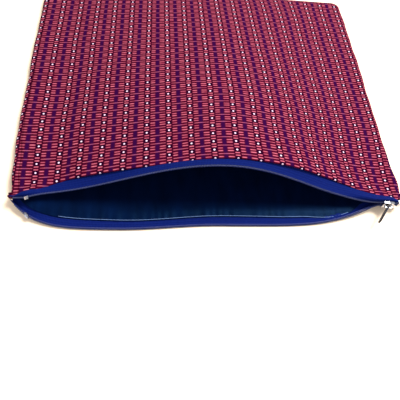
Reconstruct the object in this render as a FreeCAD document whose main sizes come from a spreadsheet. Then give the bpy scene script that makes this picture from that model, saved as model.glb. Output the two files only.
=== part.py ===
import FreeCAD, Part
import math
import os
import Sketcher
from FreeCAD import Placement, Rotation, Vector

os.makedirs("parts", exist_ok=True)

# Padded laptop sleeve, lying on its flat underside with its long zip pulled open.
# X runs along the mouth, +Y towards the closed back edge, Z up, z = 0 on the table.
# The pouch is two fabric shells (top and bottom), each with foam and lining inside,
# closed at the sides and back and joined at the mouth by a nylon coil zip.

# ------------------------------------------------------------------ driving dimensions
DIMENSIONS = [
    # Seven cross-sections of the raised top, from the mouth to the back edge:
    # depth position, half width at the seam, and height of the crown above the edges.
    ("mouth_y", -137.0), ("mouth_half", 167.0), ("mouth_crown", 41.0),
    ("fore_y", -70.0), ("fore_half", 169.5), ("fore_crown", 31.0),
    ("middle_y", -5.0), ("middle_half", 172.0), ("middle_crown", 23.5),
    ("aft_y", 55.0), ("aft_half", 173.8), ("aft_crown", 16.0),
    ("rear_y", 100.0), ("rear_half", 174.5), ("rear_crown", 10.5),
    ("turn_y", 126.0), ("turn_half", 173.2), ("turn_crown", 6.5),
    ("back_y", 139.0), ("back_half", 167.0), ("back_crown", 3.0),
    # How the crown is rounded: share of the total bend taken by the middle arc.
    ("bend_share", 0.62),
    # Side seam height, the gap the seam closes, and the rounding of the padded edge.
    ("seam_level", 5.0), ("seam_gap", 0.3), ("edge_round", 5.2),
    # Layers, measured inwards from the outside of the fabric.
    ("fabric_thick", 0.8), ("foam_depth", 0.95), ("foam_thick", 2.8),
    ("lining_depth", 3.9), ("lining_thick", 0.4),
    # Front edges of the layers, behind the fabric's own front edge.
    ("foam_setback", 6.0), ("lining_setback", 1.0), ("floor_lining_setback", 3.0),
    # Bottom shell: rounded floor edge, corner radius, and the curve of its front edge.
    ("floor_round", 4.6), ("corner_radius", 9.0),
    ("front_bulge", 10.0), ("front_corner_x", 150.0), ("front_corner_y", -152.0),
    ("front_side_y", -138.0), ("foam_side_inset", 4.2), ("lining_side_inset", 1.2),
    # Zip chain: where it lies, and how far each end reaches.
    ("chain_y", -152.0), ("chain_level", 10.0), ("chain_end", 165.0),
    ("open_right", 145.5), ("open_left", 152.0), ("lower_open_left", 166.0),
    # The open lips: rise and setback of the upper one, forward bulge and drop of the lower
    # one, and the powers that shape each curve from mid-way to its ends.
    ("lip_crown", 37.6), ("lip_setback", 7.0), ("lip_bulge", 19.0), ("lip_drop", 6.0),
    ("lip_bulge_left", 4.0), ("lip_bulge_run", 80.0), ("lip_rise_power", 2.6),
    ("setback_power_left", 0.6), ("setback_power_right", 2.0),
    ("fullness_left", 10.0), ("fullness_right", 5.0),
    ("softness_left", 1.2), ("softness_right", 1.6),
    # Where the tapes start to stand up towards each end of the chain, and over how far.
    ("stand_left", 135.0), ("stand_left_run", 28.0),
    ("stand_right", 100.0), ("stand_right_run", 42.0),
    # Tape and coil sections.
    ("tape_thick", 0.5), ("tape_half_gap", 1.0), ("slider_spread", 1.0),
    ("coil_inner", -0.8), ("coil_outer", 1.1), ("coil_low", 0.35), ("coil_high", 1.8),
    ("coil_wall", 0.35), ("cord_clearance", 0.12), ("thread_size", 0.22),
    ("thread_clearance", 0.12),
    ("tape_end_run", 8.0), ("upper_end_start", 154.0), ("lower_end_start", 148.0),
    ("upper_end_shift", 3.0), ("lower_end_shift", 6.0),
    ("tape_tuck", 4.0), ("tape_depth", 2.2), ("tape_straight", 3.6), ("tape_turn", 2.5),
    # Mouth stitching: how far behind the fabric's front edge, and how far along the zip.
    ("stitch_behind", 1.5), ("stitch_reach", 143.0), ("stitch_slope", 0.36),
    # Zip stops.
    ("stop_length", 2.8), ("top_stop_x", -152.0), ("bottom_stop_x", 161.5),
    ("stop_wall", 0.4), ("stop_clearance", 0.15),
    # Slider.
    ("slider_x", 151.0), ("slider_length", 9.6), ("nose_half", 3.8), ("tail_half", 2.9),
    ("plate_thick", 1.0), ("cavity_front", -154.0), ("cavity_back", -151.2),
    ("flange_wide", 0.6), ("flange_depth", 1.5),
    ("post_start", 0.4), ("post_length", 1.8), ("post_tip", 1.1), ("post_half", 0.8),
    ("bail_length", 7.0), ("bail_high", 2.7), ("bail_bar", 0.8), ("bail_leg", 1.2),
    ("bail_wide", 1.6),
    # Pull tab, hinged on the bail.
    ("pull_axis_rise", 0.95), ("pull_length", 20.0), ("pull_thick", 1.3),
    ("pull_root_half", 1.9), ("pull_end_half", 2.3), ("window_half", 1.15),
    ("window_length", 3.6), ("pull_swing", -40.0),
    # Seam threads.
    ("seam_thread", 0.25), ("lining_thread_inset", 6.0),
]
DIM = dict(DIMENSIONS)
STATIONS = ["mouth", "fore", "middle", "aft", "rear", "turn", "back"]

doc = FreeCAD.newDocument("laptop_sleeve")
sheet = doc.addObject("Spreadsheet::Sheet", "Dimensions")
for row, (alias, value) in enumerate(DIMENSIONS, start=1):
    sheet.set("A%d" % row, alias.replace("_", " "))
    sheet.set("B%d" % row, str(value))
    sheet.setAlias("B%d" % row, alias)
doc.recompute()

NODES = []


def cell(alias):
    """Value of one driving dimension, read from the sheet."""
    return float(sheet.get(alias))


def ref(alias):
    """The same dimension as it is written in an expression."""
    return "Dimensions." + alias


# ------------------------------------------------------------------ PartDesign helpers
def new_body(label, exported=True):
    body = doc.addObject("PartDesign::Body", label)
    body.Label = label
    if exported:
        NODES.append(body)
    return body


def plane_sketch(body, name, role, offset="0"):
    """Empty sketch on one of the body's origin planes, moved along its normal."""
    plane = [feature for feature in body.Origin.OriginFeatures if feature.Role == role][0]
    sketch = body.newObject("Sketcher::SketchObject", body.Label + "_" + name)
    sketch.AttachmentSupport = [(plane, "")]
    sketch.MapMode = "FlatFace"
    sketch.setExpression("AttachmentOffset.Base.z", offset)
    return sketch


def bind(sketch, constraint, name, expression):
    """Name a dimensional constraint and drive it from the sheet."""
    sketch.renameConstraint(constraint, name)
    sketch.setExpression("Constraints." + name, expression)


def end_at(sketch, geo, spot):
    """Which end of an edge lies at a given point: 1 for its start, 2 for its end."""
    return 1 if (sketch.getPoint(geo, 1) - spot).Length < (sketch.getPoint(geo, 2) - spot).Length else 2


def hold(sketch, geo, end, name, across, up):
    """Fix one point by driven distances from the sketch's origin."""
    spot = sketch.getPoint(geo, end)
    for axis, kind, value, expression in ((-2, "X", spot.x, across), (-1, "Y", spot.y, up)):
        if abs(value) < 1e-9:
            sketch.addConstraint(Sketcher.Constraint("PointOnObject", geo, end, axis))
        elif value > 0:
            index = sketch.addConstraint(
                Sketcher.Constraint("Distance" + kind, -1, 1, geo, end, value))
            bind(sketch, index, name + kind, expression)
        else:
            index = sketch.addConstraint(
                Sketcher.Constraint("Distance" + kind, geo, end, -1, 1, -value))
            bind(sketch, index, name + kind, "-(%s)" % expression)


def outline(sketch, corners, arcs=()):
    """Closed outline through driven corners. arcs maps a corner's number to the driven
    radius of the edge that leaves it and the way that edge bows."""
    arcs = dict(arcs)
    spots = [Vector(float(sheet.evalExpression(x)), float(sheet.evalExpression(y)), 0)
             for x, y in corners]
    edges = []
    for number, start in enumerate(spots):
        stop = spots[(number + 1) % len(spots)]
        if number in arcs:
            radius = float(sheet.evalExpression(arcs[number][0]))
            bow = Vector(arcs[number][1][0], arcs[number][1][1], 0)
            middle = (start + stop) * 0.5
            half = (stop - start).Length / 2
            rise = radius - (radius ** 2 - half ** 2) ** 0.5
            across = (stop - start).normalize()
            square = Vector(-across.y, across.x, 0)
            square = square if square.dot(bow) > 0 else square * -1
            edges.append(sketch.addGeometry(Part.Arc(start, middle + square * rise, stop)))
        else:
            edges.append(sketch.addGeometry(Part.LineSegment(start, stop)))
    for number, edge in enumerate(edges):
        following = edges[(number + 1) % len(edges)]
        corner = spots[(number + 1) % len(spots)]
        sketch.addConstraint(Sketcher.Constraint(
            "Coincident", edge, end_at(sketch, edge, corner),
            following, end_at(sketch, following, corner)))
    for number, edge in enumerate(edges):
        x, y = corners[number]
        hold(sketch, edge, end_at(sketch, edge, spots[number]), "corner%d" % number, x, y)
        if number in arcs:
            index = sketch.addConstraint(Sketcher.Constraint(
                "Radius", edge, float(sheet.evalExpression(arcs[number][0]))))
            bind(sketch, index, "radius%d" % number, arcs[number][0])


def pad(body, sketch, length, name):
    feature = body.newObject("PartDesign::Pad", body.Label + "_" + name)
    feature.Profile = sketch
    feature.setExpression("Length", length)
    return feature


def pocket(body, sketch, length, name, reverse=False):
    doc.recompute()
    before = body.Shape.Volume
    feature = body.newObject("PartDesign::Pocket", body.Label + "_" + name)
    feature.Profile = sketch
    feature.Reversed = reverse
    feature.setExpression("Length", length)
    doc.recompute()
    if body.Shape.Volume > before - 1e-6:
        raise RuntimeError(feature.Label + " cuts nothing")
    return feature


def fillet(body, radius, name, wanted):
    """Round the edges of the body's tip for which wanted(edge) is true."""
    doc.recompute()
    tip = body.Tip
    picked = ["Edge%d" % (number + 1)
              for number, edge in enumerate(tip.Shape.Edges) if wanted(edge)]
    feature = body.newObject("PartDesign::Fillet", body.Label + "_" + name)
    feature.Base = (tip, picked)
    feature.setExpression("Radius", radius)
    doc.recompute()
    return feature


def is_upright(edge):
    """True for a straight edge along Z."""
    low, high = edge.Vertexes[0].Point, edge.Vertexes[-1].Point
    return abs(low.x - high.x) + abs(low.y - high.y) < 1e-6


def is_level_at(edge, height):
    return all(abs(vertex.Z - height) < 1e-6 for vertex in edge.Vertexes)


# ------------------------------------------------------------------ top shell layers
BASE = "(Dimensions.seam_level + Dimensions.seam_gap / 2)"


def crown_section(body, name, station, depth, y):
    """Cross-section of the raised top at one station, a given depth inside its surface:
    rounded edges, then hollow flanks that swell into a rounded crown."""
    half, crown = ref(station + "_half"), ref(station + "_crown")
    span = "(%s - Dimensions.edge_round)" % half
    bend = "((%s^2 + %s^2) / (2 * %s))" % (span, crown, crown)
    edge = "(Dimensions.edge_round - %s)" % depth
    top = "(Dimensions.bend_share * %s - %s)" % (bend, depth)
    flank = "((1 - Dimensions.bend_share) * %s + %s)" % (bend, depth)
    shoulder = "(%s + %s)" % (BASE, edge)
    top_centre = "(%s + %s - %s)" % (shoulder, crown, top)
    flank_centre = "(%s + %s)" % (shoulder, flank)
    turn_x = "%s * %s / %s" % (span, top, bend)
    turn_z = "%s + (%s - %s) * %s / %s" % (top_centre, flank_centre, top_centre, top, bend)
    foot = "(%s - %s)" % (half, depth)
    sketch = plane_sketch(body, name, "XZ_Plane", "-(%s)" % y)
    corners = [("-" + foot, BASE), ("-" + span, shoulder), ("-(%s)" % turn_x, turn_z),
               (turn_x, turn_z), (span, shoulder), (foot, BASE)]
    outline(sketch, corners, {
        0: (edge, (-1, 1)), 1: (flank, (0, -1)), 2: (top, (0, 1)),
        3: (flank, (0, -1)), 4: (edge, (1, 1))})
    return sketch


def crown_loft(body, kind, name, depth):
    """Loft the stations from the mouth to the back, at one depth inside the surface."""
    sections = []
    for station in STATIONS:
        y = ref(station + "_y")
        if station in ("turn", "back"):
            y = "(%s - %s)" % (y, depth)
        sections.append(crown_section(body, name + "_" + station, station, depth, y))
    doc.recompute()
    loft = body.newObject(kind, body.Label + "_" + name)
    loft.Profile = sections[0]
    loft.Sections = sections[1:]
    loft.Ruled = False
    doc.recompute()
    return loft


def top_layer(label, depth, thickness, setback):
    """One layer of the raised top: an arched shell, closed at its sides and back."""
    body = new_body(label)
    crown_loft(body, "PartDesign::AdditiveLoft", "outside", depth)
    solid = body.Shape.Volume
    crown_loft(body, "PartDesign::SubtractiveLoft", "inside", "(%s + %s)" % (depth, thickness))
    if body.Shape.Volume > 0.5 * solid:
        raise RuntimeError(label + " was not hollowed")
    if setback is None:
        return
    trim = plane_sketch(body, "trim", "XZ_Plane", "-(Dimensions.mouth_y + %s)" % setback)
    wide, high = "2 * Dimensions.mouth_half", "2 * Dimensions.mouth_crown"
    outline(trim, [("-" + wide, "0"), (wide, "0"), (wide, high), ("-" + wide, high)])
    pocket(body, trim, "2 * Dimensions.foam_setback", "front_edge", reverse=True)


def make_top_layers():
    top_layer("top_outer_panel", "0", "Dimensions.fabric_thick", None)
    top_layer("top_padding", "Dimensions.foam_depth", "Dimensions.foam_thick",
              "Dimensions.foam_setback")
    top_layer("top_lining", "Dimensions.lining_depth", "Dimensions.lining_thick",
              "Dimensions.lining_setback")


# ------------------------------------------------------------------ bottom shell layers
def floor_outline(body, name, inset, setback, level):
    """Plan of the underside: straight sides and back, a front edge that bows forward
    between the two ends of the mouth."""
    side_front = "(Dimensions.mouth_half - %s)" % inset
    side_back = "(Dimensions.rear_half - %s)" % inset
    back = "(Dimensions.back_y - %s)" % inset
    corner_x = "(Dimensions.front_corner_x - %s / 2)" % inset
    corner_y = "(Dimensions.front_corner_y + %s)" % setback
    side_y = "(Dimensions.front_side_y + %s)" % setback
    chord = "%s^2" % corner_x
    bow = "((%s + Dimensions.front_bulge^2) / (2 * Dimensions.front_bulge))" % chord
    sketch = plane_sketch(body, name, "XY_Plane", level)
    corners = [(side_back, back), ("-" + side_back, back), ("-" + side_front, side_y),
               ("-" + corner_x, corner_y), (corner_x, corner_y), (side_front, side_y)]
    outline(sketch, corners, {3: (bow, (0, -1))})
    return sketch


def rounded_block(body, inset, setback, level, height, floor):
    """Block under the seam level with rounded back corners and a rounded lower edge."""
    back_zone = cell("mouth_y") + 1
    pad(body, floor_outline(body, "plan", inset, setback, level), height, "block")
    fillet(body, "Dimensions.corner_radius - " + inset, "corners",
           lambda edge: is_upright(edge) and edge.Vertexes[0].Y > back_zone)
    fillet(body, "Dimensions.floor_round - " + inset, "floor_edge",
           lambda edge: is_level_at(edge, floor) and edge.BoundBox.YMax > back_zone)


def make_bottom_outer_panel():
    """Bottom fabric: a shallow tray, open along the mouth."""
    rim = "(Dimensions.seam_level - Dimensions.seam_gap / 2)"
    wall = "Dimensions.fabric_thick"
    hollow = new_body("bottom_hollow", exported=False)
    rounded_block(hollow, wall, "-6", wall, rim, cell("fabric_thick"))
    body = new_body("bottom_outer_panel")
    rounded_block(body, "0", "0", "0", rim, 0)
    solid = body.Shape.Volume
    cut = body.newObject("PartDesign::Boolean", "bottom_outer_panel_hollow")
    cut.setObjects([hollow])
    cut.Type = "Cut"
    doc.recompute()
    if body.Shape.Volume > 0.5 * solid:
        raise RuntimeError("bottom_outer_panel was not hollowed")


def floor_sheet(label, inset, setback, low, thickness):
    """A flat inner layer that lies on the bottom fabric."""
    body = new_body(label)
    pad(body, floor_outline(body, "plan", inset, setback, low), thickness, "layer")
    back_zone = cell("mouth_y") + 20
    fillet(body, "Dimensions.corner_radius - %s" % inset, "corners",
           lambda edge: is_upright(edge) and edge.Vertexes[0].Y > back_zone)


def make_bottom_layers():
    make_bottom_outer_panel()
    floor_sheet("bottom_padding", "Dimensions.foam_side_inset", "Dimensions.foam_setback",
                "Dimensions.foam_depth", "Dimensions.foam_thick")
    floor_sheet("bottom_lining", "Dimensions.lining_side_inset",
                "Dimensions.floor_lining_setback",
                "Dimensions.lining_depth", "Dimensions.lining_thick")


# ------------------------------------------------------------------ zip tapes and coils
def ease(share):
    """Smooth step from 0 to 1."""
    share = min(max(share, 0.0), 1.0)
    return share * share * (3 - 2 * share)


def crown_height(x):
    """Height of the outside of the top fabric at the mouth."""
    span = cell("mouth_half") - cell("edge_round")
    crown = cell("mouth_crown")
    bend = (span ** 2 + crown ** 2) / (2 * crown)
    top = cell("bend_share") * bend
    flank = bend - top
    shoulder = cell("seam_level") + cell("seam_gap") / 2 + cell("edge_round")
    reach = min(abs(x), span)
    if reach < span * top / bend:
        return shoulder + crown - top + (top ** 2 - reach ** 2) ** 0.5
    return shoulder + flank - (flank ** 2 - (span - reach) ** 2) ** 0.5


def front_edge(x):
    """Front edge of the bottom fabric, in plan."""
    corner, bulge = cell("front_corner_x"), cell("front_bulge")
    if abs(x) > corner:
        slope = (cell("front_side_y") - cell("front_corner_y")) / (cell("mouth_half") - corner)
        return cell("front_corner_y") + slope * (abs(x) - corner)
    bow = (corner ** 2 + bulge ** 2) / (2 * bulge)
    return cell("front_corner_y") - bulge + bow - (bow ** 2 - x ** 2) ** 0.5


def side_of(x):
    return "left" if x < 0 else "right"


def openness(x, left):
    """How far x lies along the open part of the mouth: 0 mid-way, 1 at either end."""
    return min(abs(x) / (left if x < 0 else cell("open_right")), 1.0)


def spread(x):
    """Half the extra gap that the slider's post puts between the two coils."""
    tail = cell("slider_x") + cell("slider_length") / 2
    return cell("slider_spread") * ease((tail - x) / (1.125 * cell("slider_length")))


def twist(x):
    """Turn of a tape's free edge: 0 lying open, 1 standing up in the closed chain."""
    start = "stand_" + side_of(x)
    return ease((abs(x) - cell(start)) / cell(start + "_run"))


class Lip:
    """One side of the zip: its free edge, its sewn edge and the way it faces. up is 1 for
    the side sewn to the top fabric and -1 for the side sewn to the bottom fabric."""

    def __init__(self, up):
        self.up = up

    def free_edge(self, x):
        """Edge that carries the coil: in the chain at both ends, open in between."""
        offset = cell("tape_half_gap") + spread(x)
        level, y = cell("chain_level"), cell("chain_y")
        if self.up > 0:
            swell = 1 - openness(x, cell("open_left")) ** 2
            setback = cell("lip_setback") * swell ** cell("setback_power_" + side_of(x))
            rise = cell("lip_crown") * swell ** cell("lip_rise_power")
            return Vector(x, y + setback, level + offset + rise)
        fullness, softness = cell("fullness_" + side_of(x)), cell("softness_" + side_of(x))
        swell = (1 - openness(x, cell("lower_open_left")) ** fullness) ** softness
        bulge = cell("lip_bulge") + cell("lip_bulge_left") * ease(-x / cell("lip_bulge_run"))
        return Vector(x, y - bulge * swell, level - offset - cell("lip_drop") * swell)

    def across(self, x):
        """Direction from the free edge into the tape, in the plane across the zip."""
        turn = Rotation(Vector(1, 0, 0), 90 * self.up * twist(x))
        return turn.multVec(Vector(0, 1, 0))

    def outward(self, x):
        """Direction from the tape towards its coil."""
        turn = Rotation(Vector(1, 0, 0), 90 * self.up * twist(x))
        return turn.multVec(Vector(0, 0, self.up))

    def sewn_edge(self, x):
        """Edge that is caught in the mouth seam; it comes forward at the two corners."""
        if self.up > 0:
            corner = ease((abs(x) - cell("upper_end_start")) / cell("tape_end_run"))
            tuck = cell("tape_tuck") * (1 - corner) - cell("upper_end_shift") * corner
            return Vector(x, cell("mouth_y") + tuck, crown_height(x) - cell("tape_depth"))
        corner = ease((abs(x) - cell("lower_end_start")) / cell("tape_end_run"))
        tuck = cell("tape_tuck") - cell("lower_end_shift") * corner
        level = cell("fabric_thick") + cell("tape_thick") + 0.1
        return Vector(x, front_edge(x) + tuck, level)


UPPER, LOWER = Lip(1), Lip(-1)


def lip_stations():
    """Places along the zip, evenly closer together towards its ends, where the lips turn."""
    half, count, crowding = cell("chain_end"), 23, 0.35
    shares = [number / count for number in range(-count, count + 1)]
    return [half * ((1 + crowding) * share - crowding * share ** 3) for share in shares]


LIP_STATIONS = lip_stations()
COIL_STATIONS = LIP_STATIONS[1:-1]


def bar_profile(across, outward):
    """Rectangle between two limits across the tape and two towards the coil's side."""
    return [(across[0], outward[0]), (across[1], outward[0]),
            (across[1], outward[1]), (across[0], outward[1])]


def strand(lip, stations, profile):
    """A bar that follows a lip's free edge. Its profile is measured from that edge,
    into the tape and towards the coil's side."""
    wires = []
    for x in stations:
        origin, wide, high = lip.free_edge(x), lip.across(x), lip.outward(x)
        corners = [origin + wide * a + high * o for a, o in profile]
        wires.append(Part.makePolygon(corners + corners[:1]))
    return Part.makeLoft(wires, True, False)


def turn_reach(bend, sewn, wide):
    """How far a tape runs straight on before it curves over to its sewn edge."""
    longest = cell("tape_turn")
    if abs(wide.z) < 0.05:
        return longest
    return min(max(0.8 * (sewn.z - bend.z) / wide.z, 0.3 * longest), longest)


def tape_shape(lip):
    """Woven tape from its free edge, curving back to where it is sewn in."""
    half = cell("tape_thick") / 2
    wires = []
    for x in LIP_STATIONS:
        edge, sewn = lip.free_edge(x), lip.sewn_edge(x)
        wide = lip.across(x)
        bend = edge + wide * cell("tape_straight")
        curve = Part.BezierCurve()
        turn = bend + wide * turn_reach(bend, sewn, wide)
        curve.setPoles([bend, turn, sewn - Vector(0, 3, 0), sewn])
        course = [(edge + wide * (cell("tape_straight") * part / 3), wide) for part in range(3)]
        course += [(curve.value(part / 7), curve.tangent(part / 7)[0]) for part in range(8)]
        rows = ([], [])
        for spot, along in course:
            normal = Vector(0, -along.z, along.y)
            rows[0].append(spot + normal * half)
            rows[1].append(spot - normal * half)
        sides = []
        for row in rows:
            spline = Part.BSplineCurve()
            spline.interpolate(row)
            sides.append(spline.toShape())
        wires.append(Part.Wire([
            sides[0], Part.makeLine(rows[0][-1], rows[1][-1]),
            sides[1], Part.makeLine(rows[1][0], rows[0][0])]))
    return Part.makeLoft(wires, True, False)


def new_feature(label, shape):
    """A sub-part whose form follows a curve in space, so no sketch can carry it."""
    feature = doc.addObject("Part::Feature", label)
    feature.Label = label
    feature.Shape = shape
    feature.Placement = Placement(Vector(0, 0, 0), Rotation())
    NODES.append(feature)
    return feature


def coil_profile():
    """Wall of the coil round its cord, with the slit where each turn meets the tape."""
    first, last = cell("coil_inner"), cell("coil_outer")
    low, high = cell("coil_low"), cell("coil_high")
    wall, slit = cell("coil_wall"), 0.1
    middle = (first + last) / 2
    return [(middle - slit, low), (first, low), (first, high), (last, high), (last, low),
            (middle + slit, low), (middle + slit, low + wall), (last - wall, low + wall),
            (last - wall, high - wall), (first + wall, high - wall),
            (first + wall, low + wall), (middle - slit, low + wall)]


def make_zip_side(name, lip):
    new_feature(name + "_tape", tape_shape(lip))
    new_feature(name + "_coil", strand(lip, COIL_STATIONS, coil_profile()))
    inset = cell("coil_wall") + cell("cord_clearance")
    core = bar_profile((cell("coil_inner") + inset, cell("coil_outer") - inset),
                       (cell("coil_low") + inset, cell("coil_high") - inset))
    new_feature(name + "_coil_cord", strand(lip, COIL_STATIONS, core))
    size = cell("thread_size")
    under = -cell("tape_thick") / 2 - cell("thread_clearance")
    rows = [strand(lip, COIL_STATIONS, bar_profile((a, a + size), (under - size, under)))
            for a in (0.15, 0.75)]
    new_feature(name + "_coil_stitching", Part.makeCompound(rows))


def make_top_stop(name, lip):
    """Metal clip pinched round the coil and the edge of the tape, open on the tape's side."""
    half, wall, gap = cell("stop_length") / 2, cell("stop_wall"), cell("stop_clearance")
    middle = cell("top_stop_x")
    under, over = -cell("tape_thick") / 2 - 0.4, cell("coil_high") + gap
    first, last = cell("coil_inner") - gap, cell("coil_outer") + 0.3
    clip = [(first - wall, under - wall), (last, under - wall), (last, under),
            (first, under), (first, over), (last, over), (last, over + wall),
            (first - wall, over + wall)]
    new_feature(name, strand(lip, [middle - half, middle + half], clip))


def make_mouth_stitching():
    """Rows of thread that sew each tape between its fabric and its lining."""
    size, behind = cell("thread_size"), cell("stitch_behind")
    depth = cell("fabric_thick") + 0.04
    stations = [x for x in LIP_STATIONS if abs(x) < cell("stitch_reach")]
    for name in ("upper", "lower"):
        wires = []
        for x in stations:
            if name == "upper":
                level = crown_height(x) - depth - cell("stitch_slope") - size
                low = Vector(x, cell("mouth_y") + behind, level)
            else:
                low = Vector(x, front_edge(x) + behind, depth)
            corners = [low, low + Vector(0, size, 0), low + Vector(0, size, size),
                       low + Vector(0, 0, size)]
            wires.append(Part.makePolygon(corners + corners[:1]))
        new_feature(name + "_mouth_stitching", Part.makeLoft(wires, True, False))


# ------------------------------------------------------------------ metal parts
def make_bottom_stop():
    """Staple across the closed chain: a bar in front, its two legs through the tapes."""
    body = new_body("bottom_stop")
    reach = "(2 * Dimensions.coil_outer + 0.45)"
    left = "(Dimensions.bottom_stop_x - Dimensions.stop_length / 2)"
    right = "(Dimensions.bottom_stop_x + Dimensions.stop_length / 2)"
    low = "(Dimensions.chain_level - %s - Dimensions.stop_wall)" % reach
    high = "(Dimensions.chain_level + %s + Dimensions.stop_wall)" % reach
    front = "-(Dimensions.chain_y - Dimensions.coil_high - Dimensions.stop_clearance)"
    bar = plane_sketch(body, "bar", "XZ_Plane", front)
    outline(bar, [(left, low), (right, low), (right, high), (left, high)])
    pad(body, bar, "Dimensions.stop_wall", "front_bar")
    for name, near, far in (("low", low, "(%s + Dimensions.stop_wall)" % low),
                            ("high", "(%s - Dimensions.stop_wall)" % high, high)):
        leg = plane_sketch(body, name + "_leg", "XZ_Plane", front)
        outline(leg, [(left, near), (right, near), (right, far), (left, far)])
        feature = pad(body, leg, "Dimensions.coil_high + 1", name + "_prong")
        feature.Reversed = True


def slider_outline(body, name, offset, inset, nose, tail):
    """Outline of the slider's plates, wide at the nose and narrower at the tail."""
    level = "Dimensions.chain_level"
    middle = "Dimensions.slider_x"
    sketch = plane_sketch(body, name, "XZ_Plane", offset)
    corners = []
    for x, half in ((nose, "Dimensions.nose_half"), (middle, "Dimensions.nose_half"),
                    (tail, "Dimensions.tail_half")):
        corners.append((x, "%s - (%s - %s)" % (level, half, inset)))
    for x, half in ((tail, "Dimensions.tail_half"), (middle, "Dimensions.nose_half"),
                    (nose, "Dimensions.nose_half")):
        corners.append((x, "%s + (%s - %s)" % (level, half, inset)))
    outline(sketch, corners)
    return sketch


def make_slider_body():
    """Two plates joined by a post at the nose, with flanges that hold the coils in."""
    body = new_body("slider_body")
    nose = "(Dimensions.slider_x - Dimensions.slider_length / 2)"
    tail = "(Dimensions.slider_x + Dimensions.slider_length / 2)"
    front = "-Dimensions.cavity_front"
    back = "-Dimensions.cavity_back - Dimensions.plate_thick"
    plate = slider_outline(body, "front_plate", front, "0", nose, tail)
    pad(body, plate, "Dimensions.plate_thick", "front")
    rim = slider_outline(body, "flange_rim", front, "0", nose, tail)
    pad(body, rim, "Dimensions.flange_depth", "flanges").Reversed = True
    channel = slider_outline(body, "channel", front, "Dimensions.flange_wide",
                             "(%s - 1)" % nose, "(%s + 1)" % tail)
    pocket(body, channel, "Dimensions.flange_depth", "channel_cut")
    wedge = plane_sketch(body, "post", "XZ_Plane", front)
    level = "Dimensions.chain_level"
    start = "(%s + Dimensions.post_start)" % nose
    end = "(%s + Dimensions.post_length)" % start
    outline(wedge, [(start, "%s - Dimensions.post_half" % level),
                    (end, "%s - Dimensions.post_half" % level),
                    ("%s + Dimensions.post_tip" % end, level),
                    (end, "%s + Dimensions.post_half" % level),
                    (start, "%s + Dimensions.post_half" % level)])
    pad(body, wedge, "Dimensions.cavity_back - Dimensions.cavity_front", "post_block").Reversed = True
    rear = slider_outline(body, "back_plate", "-Dimensions.cavity_back", "0", nose, tail)
    pad(body, rear, "Dimensions.plate_thick", "back").Reversed = True
    doc.recompute()
    outer_front = cell("cavity_front") - cell("plate_thick")
    fillet(body, "Dimensions.plate_thick * 0.45", "front_rounding",
           lambda edge: all(abs(vertex.Y - outer_front) < 1e-6 for vertex in edge.Vertexes))


def make_slider_bail():
    """Arch on the slider's front plate that carries the pull tab."""
    body = new_body("slider_bail")
    foot = "(Dimensions.cavity_front - Dimensions.plate_thick)"
    left = "(Dimensions.slider_x - Dimensions.bail_length / 2)"
    right = "(Dimensions.slider_x + Dimensions.bail_length / 2)"
    level = "Dimensions.chain_level - Dimensions.bail_wide / 2"
    crown = "(%s - Dimensions.bail_high)" % foot
    arch = plane_sketch(body, "arch", "XY_Plane", level)
    outline(arch, [(left, foot), (left, crown), (right, crown), (right, foot)])
    pad(body, arch, "Dimensions.bail_wide", "block")
    window = plane_sketch(body, "window", "XY_Plane", level)
    near = "(%s + Dimensions.bail_leg)" % left
    far = "(%s - Dimensions.bail_leg)" % right
    inner = "(%s + Dimensions.bail_bar)" % crown
    outline(window, [(near, foot + " + 1"), (near, inner), (far, inner), (far, foot + " + 1")])
    pocket(body, window, "Dimensions.bail_wide", "window_cut", reverse=True)
    outer = cell("cavity_front") - cell("plate_thick") - cell("bail_high")
    fillet(body, "Dimensions.bail_bar", "crown_rounding",
           lambda edge: is_upright(edge) and abs(edge.Vertexes[0].Y - outer) < 1e-6)


def make_pull_tab():
    """Flat tab with a window at its root, whose end bar turns under the bail."""
    body = new_body("pull_tab")
    half_bar = "Dimensions.pull_thick / 2"
    thick = "Dimensions.pull_thick"
    root, end = "Dimensions.pull_root_half", "Dimensions.pull_end_half"
    length = "Dimensions.pull_length"
    tab = plane_sketch(body, "plan", "YZ_Plane", "-" + half_bar)
    outline(tab, [("-" + length, "-(%s - 1)" % end), ("-(%s - 1)" % length, "-" + end),
                  ("-(0.6 * %s)" % length, "-" + root), (half_bar, "-" + root),
                  (half_bar, root), ("-(0.6 * %s)" % length, root),
                  ("-(%s - 1)" % length, end), ("-" + length, "%s - 1" % end)])
    pad(body, tab, thick, "blank")
    slot = plane_sketch(body, "window", "YZ_Plane", "-" + half_bar)
    near = "-(%s)" % half_bar
    far = "-(%s + Dimensions.window_length)" % half_bar
    wide = "Dimensions.window_half"
    outline(slot, [(far, "-" + wide), (near, "-" + wide), (near, wide), (far, wide)])
    pocket(body, slot, thick, "window_cut", reverse=True)
    fillet(body, "Dimensions.pull_thick * 0.3", "bar_rounding",
           lambda edge: edge.BoundBox.XLength < 1e-6 and edge.BoundBox.YLength < 1e-6
           and edge.BoundBox.YMax > 0)
    axis_y = "Dimensions.cavity_front - Dimensions.plate_thick - Dimensions.pull_axis_rise"
    body.setExpression("Placement.Base.x", "Dimensions.slider_x")
    body.setExpression("Placement.Base.y", axis_y)
    body.setExpression("Placement.Base.z", "Dimensions.chain_level")
    body.Placement.Rotation = Rotation(Vector(0, 0, 1), cell("pull_swing"))


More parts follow.
